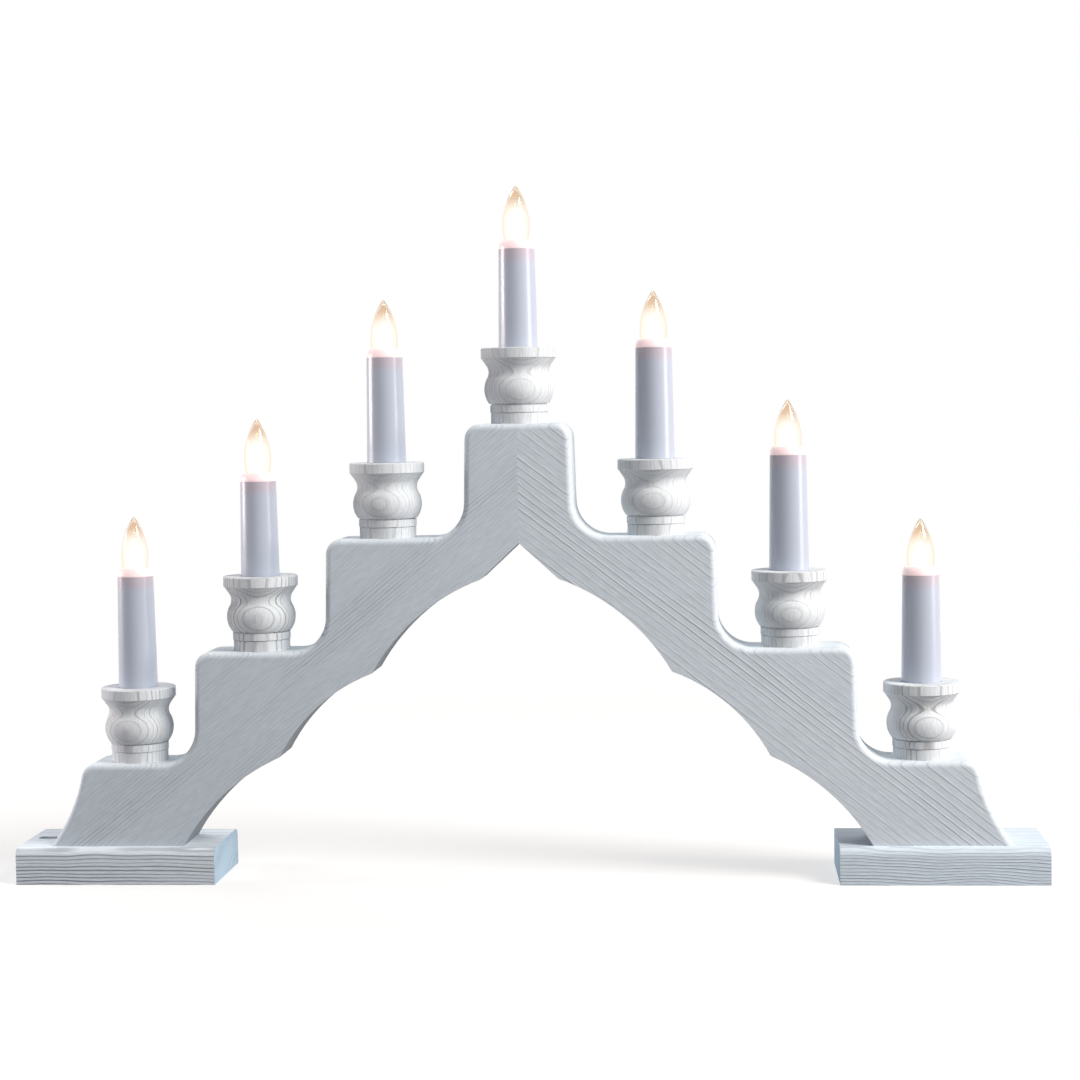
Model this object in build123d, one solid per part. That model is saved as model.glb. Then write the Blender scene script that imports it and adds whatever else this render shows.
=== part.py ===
from build123d import *
import math
import os

# Stepped wooden candle arch with seven electric candles, in millimetres.
# X runs along the arch, Y from front to back, Z up.
# The origin is on the table, at the middle of the two feet.
# Candles are numbered 1 to 7 from left to right, and candle 4 stands on the top step.

# Whole arch
overall_width = 440.0
candle_count = 7
cut_overrun = 1.0
glue_gap = 0.05

# Feet: blocks with the two long top edges rounded over
foot_length = 87.0
foot_depth = 46.0
foot_height = 16.0
foot_roundover = 3.7

# Arch boards: two stepped boards, mitred together on the plane X = 0
board_thickness = 28.0
board_setback = 3.7
edge_roundover = 2.6
first_tread_height = 51.6
mitre_height = 50.3
board_end_margin = 14.4
end_slant = 14.9
end_hollow = 2.6
riser_lean = 1.2
tread_corner_radius = 6.6
cup_riser_gap = 0.2

# Underside of the arch: a straight run from the mitre, then three hollow scallops.
# The knots between them are shares of the way out to the board's foot, and of the apex above the feet.
apex_height = 145.0
board_inner_margin = 14.1
knot_offset_shares = (0.1128, 0.4337, 0.7111, 1.0)
knot_height_shares = (0.8814, 0.5744, 0.2961, 0.0)
scallop_depths = (5.4, 5.0, 4.6)

# Candle places, from the middle outwards: gaps as shares of an arm, and risers as shares of the gaps
candle_end_margin = 51.3
candle_gap_shares = (0.3408, 0.3326, 0.3266)
riser_shares = (0.398, 0.456, 0.497)

# Wiring channel, milled in the backs of both boards along the arms
channel_apex_margin = 15.0
channel_foot_margin = 11.0
channel_width = 9.0
channel_depth = 12.0
channel_end_margin = 2.5
wire_hole_radius = 4.0
wire_hole_below = 5.0

# Series wiring
wire_radius = 0.9
wire_spacing = 4.4
wire_bend_radius = 3.4
wire_bend_run = 0.8
link_lane_offset = 2.0
return_lane_inset = 2.0
return_shift_shares = (0.152, 0.697)
apex_bend_radius = 8.0
groove_bend_radius = 8.0
groove_wire_gap = 0.2
groove_wire_drop = 3.4
supply_end_inset = 6.5

# Groove and outlet for the mains lead, in the left foot
groove_setback = 5.3
groove_side_room = 0.5
groove_depth = 7.0
groove_start_margin = 7.5
outlet_edge_margin = 3.6
outlet_length = 8.0
outlet_depth = 5.2

# Staples that hold the wires in the channel, one in each gap between candles
staple_shares = (0.557, 0.490, 0.479)
staple_wire_radius = 0.6
staple_overhang = 1.8
staple_leg_length = 5.0
staple_bend_radius = 1.3

# Dowels across the mitre, one above its foot and one below the top step
dowel_radius = 3.0
dowel_length = 36.0
dowel_setback = 6.5
dowel_foot_margin = 7.0
dowel_top_margin = 17.3
dowel_end_room = 0.5

# Countersunk screws from below, two in each foot, near both ends of the board's foot
screw_inner_margin = 9.9
screw_outer_margin = 15.6
screw_setback = 9.5
screw_length = 32.0
screw_radius = 1.75
screw_tip_length = 5.0
screw_tip_radius = 0.3
screw_head_radius = 3.5
screw_head_height = 2.4
screw_recess = 1.2
screw_clearance = 0.3
recess_width = 0.9
recess_span = 3.6
recess_depth = 1.4

# Turned cups: the outline between collar and rim has its heights as shares of the cup
cup_height = 32.0
cup_base_radius = 12.1
cup_line_height = 4.4
cup_line_width = 0.4
cup_line_depth = 0.35
cup_collar_radius = 12.35
cup_collar_top = 7.8
cup_groove_radius = 11.8
cup_groove_width = 0.6
cup_belly_foot_radius = 12.7
cup_belly_radius = 14.7
cup_belly_share = 0.425
cup_shoulder_radius = 13.7
cup_shoulder_share = 0.591
cup_neck_radius = 12.8
cup_neck_share = 0.681
cup_flare_radius = 13.9
cup_flare_share = 0.778
cup_rim_radius = 16.0
cup_rim_undercut = 0.4
cup_rim_height = 4.6
cup_rim_chamfer = 0.35
cup_bore_depth = 20.0
cup_stem_seat_height = 1.5
spigot_radius = 5.5
spigot_length = 8.0

# Screw caps of the bulbs: heights count from the solder point
cap_crest_radius = 4.72
cap_thread_depth = 0.37
cap_thread_pitch = 1.814
cap_thread_turns = 4
cap_thread_start = 3.0
cap_skirt_drop = 0.12
cap_wall = 0.45
cap_top = 13.0
cap_floor_height = 3.6
insulator_foot_radius = 2.6
insulator_setback = 0.35
insulator_top = 2.4
solder_radius = 1.4
solder_height = 0.7

# Threaded shells inside the holders
thread_clearance = 0.15
shell_wall = 0.33
shell_height = 11.0
shell_top_drop = 0.5
tag_width = 2.0
tag_gap = 0.2

# Sprung centre contacts
contact_depth = 14.0
contact_head_radius = 2.6
contact_head_height = 1.2
contact_pin_radius = 0.9
contact_pin_drop = 0.1
contact_clearance = 0.1
contact_floor_gap = 0.2

# Lamp holders: a hollow stem pressed into the cup, with a screw socket on top
holder_stem_radius = 5.0
holder_stem_bore = 3.8
holder_socket_wall = 0.95
holder_floor_thickness = 2.5
holder_foot_gap = 0.5
holder_play = 6.4
holder_raise_shares = (1.00, 0.00, 0.30, 0.16, 0.55, 0.69, 0.22)

# Plastic candle sleeves
sleeve_length = 60.0
sleeve_side_gap = 0.45
sleeve_stop_ledge = 0.2
sleeve_taper = 0.88
sleeve_wall = 1.05
sleeve_shoulder_height = 3.8
sleeve_shoulder_bulge = 0.35
sleeve_mouth_wall = 0.4
sleeve_lip_height = 1.2
sleeve_slide_clearance = 0.1
sleeve_stop_clearance = 0.3
sleeve_floor_clearance = 2.8
sleeve_play = 5.0
sleeve_raise_shares = (0.52, 0.30, 0.74, 0.28, 0.84, 1.00, 0.92)

# Glass of the bulbs: the outline above the neck is in shares of the widest radius and of the height left
bulb_length = 41.0
bulb_mouth_clearance = 0.25
bulb_flank_shares = (0.9235, 0.2094)
bulb_widest_shares = (1.0, 0.4224)
bulb_nose_shares = (0.6174, 0.7834)
bulb_neck_step = 0.2
bulb_neck_rise = 0.3
bulb_tip_radius = 0.6
glass_wall = 0.55
glass_tip_wall = 1.6
glass_foot_gap = 1.4
glass_side_gap = 0.1

# Filament, its support wires and the glass stem that carries them
stem_side_gap = 0.15
stem_foot_rise = 0.2
stem_top_radius = 1.3
stem_waist_height = 8.5
stem_top_height = 15.0
support_radius = 0.22
support_spread = 2.2
support_foot_spread = 0.7
support_top_share = 0.4946
filament_radius = 0.18
filament_rise = 4.0

# Boards and feet that follow from the sizes above
half_width = overall_width / 2
foot_inner_offset = half_width - foot_length
board_front = board_setback - foot_depth / 2
board_back = board_front + board_thickness
board_middle = board_front + board_thickness / 2
board_inner_offset = foot_inner_offset + board_inner_margin
end_bottom_offset = half_width - board_end_margin
end_top_offset = end_bottom_offset - end_slant
knot_offsets = [share * board_inner_offset for share in knot_offset_shares]
knot_heights = [foot_height + share * (apex_height - foot_height) for share in knot_height_shares]
front_plane = Plane(origin=(0, board_back, 0), x_dir=(1, 0, 0), z_dir=(0, -1, 0))
xz_plane = Plane.XZ

# Candles and steps that follow, from the middle outwards
outer_candle_offset = half_width - candle_end_margin
candle_gaps = [share * outer_candle_offset for share in candle_gap_shares]
arm_offsets = [0.0, candle_gaps[0], candle_gaps[0] + candle_gaps[1], outer_candle_offset]
candle_offsets = [-offset for offset in arm_offsets[:0:-1]] + arm_offsets
candle_steps = (0, 1, 2, 3, 2, 1, 0)
step_rise = (apex_height + mitre_height - first_tread_height) / max(candle_steps)
tread_heights = [first_tread_height + step * step_rise for step in range(max(candle_steps) + 1)]
riser_offsets = [arm_offsets[place] + share * candle_gaps[place] for place, share in enumerate(riser_shares)]
riser_room = outer_candle_offset - riser_offsets[-1] - riser_lean / 2
riser_foot_radius = riser_room - cup_base_radius - cup_riser_gap

# Wiring, dowels and screws that follow
channel_apex_height = apex_height + channel_apex_margin
channel_foot_height = foot_height + channel_foot_margin
channel_slope = (channel_apex_height - channel_foot_height) / outer_candle_offset
channel_angle = math.atan(channel_slope)
channel_rise = channel_width / math.cos(channel_angle)
link_lane_depth = 2 * wire_bend_radius + wire_bend_run
return_lane_depth = board_thickness / 2 - return_lane_inset
groove_middle = board_middle + groove_setback
groove_wire_spacing = 2 * wire_radius + groove_wire_gap
groove_width = groove_wire_spacing + 2 * (wire_radius + groove_side_room)
channel_mouth_offset = (channel_apex_height - channel_rise / 2 - foot_height) / channel_slope
groove_start_offset = channel_mouth_offset - groove_start_margin
staple_offsets = [arm_offsets[place] + share * candle_gaps[place] for place, share in enumerate(staple_shares)]
dowel_heights = (apex_height + dowel_foot_margin, tread_heights[-1] - dowel_top_margin)
screw_offsets = (board_inner_offset + screw_inner_margin, end_bottom_offset - screw_outer_margin)

# Bulb, shell, holder and sleeve that follow, each round the one before
cap_root_radius = cap_crest_radius - cap_thread_depth
cap_skirt_radius = cap_crest_radius - cap_skirt_drop
cap_bore_radius = cap_root_radius - cap_wall
insulator_radius = cap_root_radius - insulator_setback
shell_inner_radius = cap_crest_radius + thread_clearance
shell_outer_radius = shell_inner_radius + shell_wall
holder_socket_bore = shell_outer_radius + glue_gap
holder_socket_radius = holder_socket_bore + holder_socket_wall
contact_room = contact_depth + contact_clearance + contact_head_height + contact_floor_gap
holder_socket_height = contact_room + holder_floor_thickness
contact_pin_length = contact_floor_gap + holder_floor_thickness - contact_pin_drop
sleeve_mouth_radius = holder_socket_radius - sleeve_stop_ledge
sleeve_top_radius = holder_socket_radius + sleeve_side_gap + sleeve_wall
sleeve_foot_radius = sleeve_top_radius + sleeve_taper
bulb_radius = sleeve_mouth_radius - bulb_mouth_clearance
glass_foot_radius = cap_bore_radius - glass_side_gap
glass_foot_height = cap_floor_height + glass_foot_gap
bulb_neck_radius = glass_foot_radius + bulb_neck_step
bulb_neck_height = cap_top + bulb_neck_rise
stem_foot_radius = glass_foot_radius - glass_wall - stem_side_gap
stem_foot_height = glass_foot_height + stem_foot_rise
support_top_height = bulb_neck_height + support_top_share * (bulb_length - bulb_neck_height)

# Heights that follow: the holder's rim stops the sleeve just clear of the floor of the cup's bore
stop_share = sleeve_side_gap / (sleeve_side_gap + sleeve_stop_ledge)
sleeve_cone_height = sleeve_shoulder_height - sleeve_lip_height
sleeve_stop_height = sleeve_length - sleeve_shoulder_height + stop_share * sleeve_cone_height
sleeve_low_foot = cup_height - cup_bore_depth + sleeve_floor_clearance
holder_low_foot = cup_stem_seat_height + holder_foot_gap
holder_length = sleeve_low_foot + sleeve_stop_height - sleeve_stop_clearance - holder_low_foot


def tread_of(candle):
    """Height of the step that carries a candle."""
    return tread_heights[candle_steps[candle]]


def holder_foot_of(candle):
    """Height of the foot of a lamp holder, which is pressed more or less far into its cup."""
    return tread_of(candle) + holder_low_foot + holder_raise_shares[candle] * holder_play


def holder_top_of(candle):
    """Height of the rim of a lamp holder."""
    return holder_foot_of(candle) + holder_length


def bulb_foot_of(candle):
    """Height of the solder point of a bulb that is screwed home."""
    return holder_top_of(candle) - contact_depth


def sleeve_foot_of(candle):
    """Height of the foot of a candle sleeve, which stays where it was pushed."""
    stop = holder_top_of(candle) - sleeve_stop_height + sleeve_stop_clearance
    return stop + sleeve_raise_shares[candle] * sleeve_play


def channel_height(offset, lane=0.0):
    """Height of a line in the wiring channel, at a distance from the middle of the arch."""
    return channel_apex_height - abs(offset) * channel_slope + lane / math.cos(channel_angle)


def bulge_point(start, end, depth):
    """Middle point of an arc that bulges to the left of the way from start to end."""
    run_x = end[0] - start[0]
    run_z = end[1] - start[1]
    length = math.hypot(run_x, run_z)
    middle_x = (start[0] + end[0]) / 2 - run_z / length * depth
    middle_z = (start[1] + end[1]) / 2 + run_x / length * depth
    return (middle_x, middle_z)


def turned(points_and_arcs):
    """Solid of revolution about Z from a closed profile of radius and height."""
    profile = make_face(Curve() + points_and_arcs)
    return revolve(xz_plane * profile, Axis.Z)


def lines_through(points):
    """Straight edges from point to point."""
    return [Line(start, end) for start, end in zip(points, points[1:])]


def upright_cylinder(radius, x, y, bottom, top):
    """Cylinder about a vertical axis between two heights."""
    return Pos(x, y, (bottom + top) / 2) * Cylinder(radius, top - bottom)


def block(x_low, x_high, y_low, y_high, z_low, z_high):
    """Rectangular block between two corners."""
    centre = Pos((x_low + x_high) / 2, (y_low + y_high) / 2, (z_low + z_high) / 2)
    return centre * Box(x_high - x_low, y_high - y_low, z_high - z_low)


def board_outline():
    """Face of the right-hand board, seen from the front, with its step corners rounded."""
    half_lean = riser_lean / 2
    levels = tread_heights[::-1]
    outer_corners = [(offset - half_lean, height) for offset, height in zip(riser_offsets, levels)]
    inner_corners = [(offset + half_lean, height) for offset, height in zip(riser_offsets, levels[1:])]
    steps = [(0.0, levels[0])]
    for outer, inner in zip(outer_corners, inner_corners):
        steps += [outer, inner]
    outer_corners.append((end_top_offset, first_tread_height))
    steps.append(outer_corners[-1])
    end_bottom = (end_bottom_offset, foot_height)
    knots = [(0.0, apex_height)] + list(zip(knot_offsets, knot_heights))
    edges = lines_through(steps)
    end_bulge = bulge_point(end_bottom, outer_corners[-1], end_hollow)
    edges.append(ThreePointArc(outer_corners[-1], end_bulge, end_bottom))
    edges.append(Line(end_bottom, knots[-1]))
    for start, end, depth in zip(knots[1:], knots[2:], scallop_depths):
        edges.append(ThreePointArc(start, bulge_point(start, end, depth), end))
    edges.append(Line(knots[0], knots[1]))
    edges.append(Line(knots[0], steps[0]))
    face = make_face(Curve() + edges)
    face = fillet(corners_at(face, outer_corners), tread_corner_radius)
    return fillet(corners_at(face, inner_corners), riser_foot_radius)


def corners_at(face, points):
    """Vertices of a face at the given points."""
    found = []
    for x, z in points:
        found.append(face.vertices().sort_by_distance((x, z, 0))[0])
    return found


def is_outer_edge(edge):
    """True for an edge of the front or back face along the steps and the outer end."""
    middle = edge.position_at(0.5)
    on_face = abs(middle.Y - board_front) < glue_gap or abs(middle.Y - board_back) < glue_gap
    underside = apex_height - abs(middle.X) * (apex_height - foot_height) / knot_offsets[-1]
    clear_of_ends = abs(middle.X) > glue_gap and middle.Z > foot_height + glue_gap
    return on_face and clear_of_ends and middle.Z > underside + edge_roundover + max(scallop_depths)


def channel_cut(side):
    """Parallelogram along one arm, as deep as the wiring channel."""
    end = outer_candle_offset + wire_hole_radius + channel_end_margin
    if side < 0:
        end = (channel_apex_height + channel_rise - foot_height) / channel_slope
    corners = []
    for offset, half in ((0.0, 1), (end, 1), (end, -1), (0.0, -1)):
        corners.append((side * offset, channel_height(offset) + half * channel_rise / 2))
    profile = make_face(Polyline(*corners, close=True))
    back = Plane(origin=(0, board_back + cut_overrun, 0), x_dir=(1, 0, 0), z_dir=(0, -1, 0))
    return extrude(back * profile, channel_depth + cut_overrun)


def candle_hole(candle):
    """Hole for the wires of a candle, wider at the top where the cup's spigot is glued in."""
    x = candle_offsets[candle]
    tread = tread_of(candle)
    bottom = channel_height(x) - wire_hole_below
    wire_hole = upright_cylinder(wire_hole_radius, x, board_middle, bottom, tread + cut_overrun)
    spigot_bottom = tread - spigot_length - dowel_end_room
    spigot_hole = upright_cylinder(spigot_radius + glue_gap, x, board_middle, spigot_bottom, tread + cut_overrun)
    return wire_hole + spigot_hole


def dowel(height, growth=0.0, end_room=0.0):
    """Dowel across the mitre, or the room for it."""
    length = dowel_length + 2 * end_room
    place = Pos(0, board_front + dowel_setback, height) * Rot(0, 90, 0)
    return place * Cylinder(dowel_radius + growth, length)


def staple_places():
    """Places of the staples along the channel, on both arms."""
    return [side * offset for side in (-1, 1) for offset in staple_offsets]


def staple(x, growth=0.0):
    """Round wire staple that bridges the channel, with both legs driven into the back."""
    side = 1 if x > 0 else -1
    half = channel_width / 2 + staple_overhang
    crown_y = board_back + staple_wire_radius
    leg_y = board_back - staple_leg_length
    points = []
    for way, depths in ((-1, (leg_y, crown_y)), (1, (crown_y, leg_y))):
        end_x = x + way * half * math.sin(channel_angle) * side
        end_z = channel_height(x) + way * half * math.cos(channel_angle)
        points += [(end_x, y, end_z) for y in depths]
    return tube(points, [staple_bend_radius] * 2, staple_wire_radius + growth)


def screw_places(side):
    """X of the two screws in one foot."""
    return [side * offset for offset in screw_offsets]


def tube(points, radii, radius):
    """Round wire along straight runs with an arc at each corner."""
    path = FilletPolyline(*points, radius=radii)
    section = Plane(origin=path.position_at(0), z_dir=path.tangent_at(0)) * Circle(radius)
    return sweep(section, path=path)


def foot_screw(x):
    """Countersunk wood screw with a cross recess, driven up from below."""
    head_top = screw_recess + screw_head_height
    tip = screw_recess + screw_length
    profile = lines_through([
        (0.0, screw_recess),
        (screw_head_radius, screw_recess),
        (screw_radius, head_top),
        (screw_radius, tip - screw_tip_length),
        (screw_tip_radius, tip),
        (0.0, tip),
        (0.0, screw_recess),
    ])
    body = Pos(x, board_front + screw_setback, 0) * turned(profile)
    y = board_front + screw_setback
    recess_top = screw_recess + recess_depth
    half_span = recess_span / 2
    half_width = recess_width / 2
    slot_x = block(x - half_span, x + half_span, y - half_width, y + half_width, 0, recess_top)
    slot_y = block(x - half_width, x + half_width, y - half_span, y + half_span, 0, recess_top)
    return body - slot_x - slot_y


def screw_room(x):
    """Countersink, clearance hole and pilot hole for one screw."""
    wide = screw_radius + screw_clearance
    head_wide = screw_head_radius + screw_clearance
    head_top = screw_recess + screw_head_height + screw_clearance
    tip = screw_recess + screw_length + screw_clearance
    profile = lines_through([
        (0.0, -cut_overrun),
        (head_wide, -cut_overrun),
        (head_wide, screw_recess),
        (wide, head_top),
        (wide, foot_height),
        (screw_radius + glue_gap, foot_height),
        (screw_radius + glue_gap, tip),
        (0.0, tip),
        (0.0, -cut_overrun),
    ])
    return Pos(x, board_front + screw_setback, 0) * turned(profile)


def arch_board(side):
    """One stepped board: -1 for the left, 1 for the right."""
    board = extrude(front_plane * board_outline(), board_thickness)
    board = fillet(board.edges().filter_by(is_outer_edge), edge_roundover)
    if side < 0:
        board = mirror(board, about=Plane.YZ)
    board -= channel_cut(side)
    for candle in range(candle_count):
        if candle_offsets[candle] * side >= 0:
            board -= candle_hole(candle)
    for height in dowel_heights:
        board -= dowel(height, glue_gap, dowel_end_room)
    for x in staple_places():
        if x * side > 0:
            board -= staple(x, glue_gap)
    for x in screw_places(side):
        board -= screw_room(x)
    return board


def foot(side):
    """Plain foot block: -1 for the left, 1 for the right."""
    x_low = min(side * foot_inner_offset, side * overall_width / 2)
    body = block(x_low, x_low + foot_length, -foot_depth / 2, foot_depth / 2, 0, foot_height)
    long_edges = body.edges().filter_by(Axis.X).group_by(Axis.Z)[-1]
    body = fillet(long_edges, foot_roundover)
    for x in screw_places(side):
        body -= screw_room(x)
    return body


def left_foot():
    """Left foot, with the wire groove under the board and the outlet for the mains lead."""
    end = -overall_width / 2 + outlet_edge_margin
    low_y = groove_middle - groove_width / 2
    high_y = groove_middle + groove_width / 2
    top = foot_height + cut_overrun
    groove = block(end, -groove_start_offset, low_y, high_y, foot_height - groove_depth, top)
    drop = block(end, end + outlet_length, low_y, high_y, -cut_overrun, top)
    way_out = block(end, end + outlet_length, low_y, foot_depth / 2 + cut_overrun, -cut_overrun, outlet_depth)
    return foot(-1) - groove - drop - way_out


def cup(candle):
    """Turned cup with its spigot, the bore for the sleeve and the seat for the holder's stem."""
    rim_bottom = cup_height - cup_rim_height
    bore_radius = sleeve_foot_radius + sleeve_slide_clearance
    seat_radius = holder_stem_radius + glue_gap
    belly_foot = cup_collar_top + cup_groove_width
    line_radius = cup_base_radius - cup_line_depth
    outline = lines_through([
        (wire_hole_radius, -spigot_length),
        (spigot_radius, -spigot_length),
        (spigot_radius, 0.0),
        (cup_base_radius, 0.0),
        (cup_base_radius, cup_line_height),
        (line_radius, cup_line_height + cup_line_width / 2),
        (cup_collar_radius, cup_line_height + cup_line_width),
        (cup_collar_radius, cup_collar_top),
        (cup_groove_radius, cup_collar_top),
        (cup_groove_radius, belly_foot),
        (cup_belly_foot_radius, belly_foot),
    ])
    belly = (cup_belly_radius, cup_belly_share * cup_height)
    shoulder = (cup_shoulder_radius, cup_shoulder_share * cup_height)
    neck = (cup_neck_radius, cup_neck_share * cup_height)
    flare = (cup_flare_radius, cup_flare_share * cup_height)
    outline.append(ThreePointArc((cup_belly_foot_radius, belly_foot), belly, shoulder))
    outline.append(ThreePointArc(shoulder, neck, flare))
    outline += lines_through([
        flare,
        (cup_rim_radius - cup_rim_undercut, rim_bottom),
        (cup_rim_radius, rim_bottom + cup_rim_chamfer),
        (cup_rim_radius, cup_height - cup_rim_chamfer),
        (cup_rim_radius - cup_rim_chamfer, cup_height),
        (bore_radius, cup_height),
        (bore_radius, cup_height - cup_bore_depth),
        (seat_radius, cup_height - cup_bore_depth),
        (seat_radius, cup_stem_seat_height),
        (wire_hole_radius, cup_stem_seat_height),
        (wire_hole_radius, -spigot_length),
    ])
    return Pos(candle_offsets[candle], board_middle, tread_of(candle)) * turned(outline)


def candle_sleeve(candle):
    """Thin tapered candle sleeve with a rounded shoulder and a narrower mouth."""
    shoulder_foot = sleeve_length - sleeve_shoulder_height
    mouth_outer = sleeve_mouth_radius + sleeve_mouth_wall
    bulge_radius = (sleeve_top_radius + mouth_outer) / 2 + sleeve_shoulder_bulge
    bulge_height = shoulder_foot + sleeve_shoulder_height / 2 + sleeve_shoulder_bulge
    outline = lines_through([
        (sleeve_foot_radius - sleeve_wall, 0.0),
        (sleeve_foot_radius, 0.0),
        (sleeve_top_radius, shoulder_foot),
    ])
    outline.append(ThreePointArc(
        (sleeve_top_radius, shoulder_foot),
        (bulge_radius, bulge_height),
        (mouth_outer, sleeve_length),
    ))
    outline += lines_through([
        (mouth_outer, sleeve_length),
        (sleeve_mouth_radius, sleeve_length),
        (sleeve_mouth_radius, sleeve_length - sleeve_lip_height),
        (sleeve_top_radius - sleeve_wall, shoulder_foot),
        (sleeve_foot_radius - sleeve_wall, 0.0),
    ])
    return Pos(candle_offsets[candle], board_middle, sleeve_foot_of(candle)) * turned(outline)


def lamp_holder(candle):
    """Moulded holder: hollow stem, floor with a hole for the centre contact, open socket."""
    socket_foot = holder_length - holder_socket_height
    floor_top = socket_foot + holder_floor_thickness
    contact_hole = contact_pin_radius + contact_clearance
    outline = lines_through([
        (holder_stem_bore, 0.0),
        (holder_stem_radius, 0.0),
        (holder_stem_radius, socket_foot),
        (holder_socket_radius, socket_foot),
        (holder_socket_radius, holder_length),
        (holder_socket_bore, holder_length),
        (holder_socket_bore, floor_top),
        (contact_hole, floor_top),
        (contact_hole, socket_foot),
        (holder_stem_bore, socket_foot),
        (holder_stem_bore, 0.0),
    ])
    return Pos(candle_offsets[candle], board_middle, holder_foot_of(candle)) * turned(outline)


def thread_shell(candle):
    """Brass shell that takes the bulb's thread, with a tag down to the socket's floor."""
    top = holder_top_of(candle) - shell_top_drop
    bottom = top - shell_height
    floor_top = holder_top_of(candle) - holder_socket_height + holder_floor_thickness
    outer = upright_cylinder(shell_outer_radius, 0, 0, bottom, top)
    shell = outer - upright_cylinder(shell_inner_radius, 0, 0, bottom - cut_overrun, top + cut_overrun)
    tag_ring = upright_cylinder(shell_outer_radius, 0, 0, floor_top + tag_gap, bottom)
    tag_ring -= upright_cylinder(shell_inner_radius, 0, 0, floor_top, bottom)
    keep = block(0, 2 * shell_outer_radius, -tag_width / 2, tag_width / 2, floor_top, bottom)
    return Pos(candle_offsets[candle], board_middle, 0) * (shell + (tag_ring & keep))


def centre_contact(candle):
    """Brass centre contact that follows the bulb up on its spring."""
    top = bulb_foot_of(candle) - contact_clearance
    head_bottom = top - contact_head_height
    x = candle_offsets[candle]
    head = upright_cylinder(contact_head_radius, x, board_middle, head_bottom, top)
    pin = upright_cylinder(contact_pin_radius, x, board_middle, head_bottom - contact_pin_length, head_bottom)
    return head + pin


def glass_point(radius_share, height_share, inset):
    """Point of the glass's outline above its neck, drawn in by the wall."""
    height = bulb_neck_height + height_share * (bulb_length - bulb_neck_height)
    return (radius_share * bulb_radius - inset, height)


def glass_skin(inset, tip):
    """Edges up one skin of the glass, drawn in by the wall, from its foot to the tip."""
    foot = (glass_foot_radius - inset, glass_foot_height)
    collar = (glass_foot_radius - inset, cap_top)
    neck = (bulb_neck_radius - inset, bulb_neck_height)
    flank = glass_point(*bulb_flank_shares, inset)
    widest = glass_point(*bulb_widest_shares, inset)
    nose = glass_point(*bulb_nose_shares, inset)
    edges = lines_through([foot, collar, neck])
    edges.append(ThreePointArc(neck, flank, widest))
    edges.append(ThreePointArc(widest, nose, tip))
    return edges


def bulb_glass(candle):
    """Hollow pointed glass with a small sealed tip, open at its foot in the cap."""
    bead_height = bulb_length - bulb_tip_radius
    bead_reach = bulb_tip_radius * math.cos(math.pi / 4)
    tip = (bulb_tip_radius, bead_height)
    bead_side = (bead_reach, bead_height + bead_reach)
    crown = (0.0, bulb_length)
    inner_tip = (glass_wall, bead_height - glass_tip_wall)
    inner_crown = (0.0, inner_tip[1])
    edges = glass_skin(0.0, tip)
    edges.append(ThreePointArc(tip, bead_side, crown))
    edges += lines_through([crown, inner_crown, inner_tip])
    edges += glass_skin(glass_wall, inner_tip)
    edges.append(Line((glass_foot_radius - glass_wall, glass_foot_height), (glass_foot_radius, glass_foot_height)))
    return Pos(candle_offsets[candle], board_middle, bulb_foot_of(candle)) * turned(edges)


def bulb_cap(candle):
    """Screw cap with its insulator and solder point, and thread crests as rings."""
    points = [
        (0.0, 0.0),
        (solder_radius, 0.0),
        (solder_radius, solder_height),
        (insulator_foot_radius, solder_height),
        (insulator_radius, insulator_top),
        (cap_root_radius, insulator_top),
        (cap_root_radius, cap_thread_start),
    ]
    for turn in range(cap_thread_turns):
        height = cap_thread_start + turn * cap_thread_pitch
        points.append((cap_crest_radius, height + cap_thread_pitch / 2))
        points.append((cap_root_radius, height + cap_thread_pitch))
    points += [
        (cap_skirt_radius, points[-1][1] + cap_thread_pitch / 2),
        (cap_skirt_radius, cap_top),
        (cap_bore_radius, cap_top),
        (cap_bore_radius, cap_floor_height),
        (0.0, cap_floor_height),
        (0.0, 0.0),
    ]
    return Pos(candle_offsets[candle], board_middle, bulb_foot_of(candle)) * turned(lines_through(points))


def rod(start, end, radius):
    """Round rod from point to point."""
    way = Vector(*end) - Vector(*start)
    plane = Plane(origin=start, z_dir=way)
    return extrude(plane * Circle(radius), way.length)


def bulb_filament(candle):
    """Glass stem with two support wires and the bent filament between their tips."""
    stem = turned(lines_through([
        (0.0, stem_foot_height),
        (stem_foot_radius, stem_foot_height),
        (stem_top_radius, stem_waist_height),
        (stem_top_radius, stem_top_height),
        (0.0, stem_top_height),
        (0.0, stem_foot_height),
    ]))
    body = stem
    for way in (-1, 1):
        foot_point = (way * support_foot_spread, 0, stem_waist_height)
        top_point = (way * support_spread, 0, support_top_height)
        peak = (0, 0, support_top_height + filament_rise)
        body += rod(foot_point, top_point, support_radius)
        body += Pos(*top_point) * Sphere(support_radius)
        body += rod(top_point, peak, filament_radius)
        body += Pos(*peak) * Sphere(filament_radius)
    return Pos(candle_offsets[candle], board_middle, bulb_foot_of(candle)) * body


def wire_tube(points, radii):
    """Insulated wire along straight runs, with its length and bends printed."""
    wire = tube(points, radii, wire_radius)
    drawn = math.pi * wire_radius ** 2 * FilletPolyline(*points, radius=radii).length
    print(f"wire: bend radii {radii}, volume {wire.volume:.1f}, section times length {drawn:.1f}")
    return wire


def holder_entry(candle, way, depth, lane):
    """Points of a wire from a lamp holder down to its lane, on the left (-1) or right (1)."""
    x = candle_offsets[candle] + way * wire_spacing / 2
    socket_foot = holder_top_of(candle) - holder_socket_height
    level = channel_height(x, lane)
    return [(x, board_middle, socket_foot), (x, board_middle, level), (x, board_middle + depth, level)]


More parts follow.
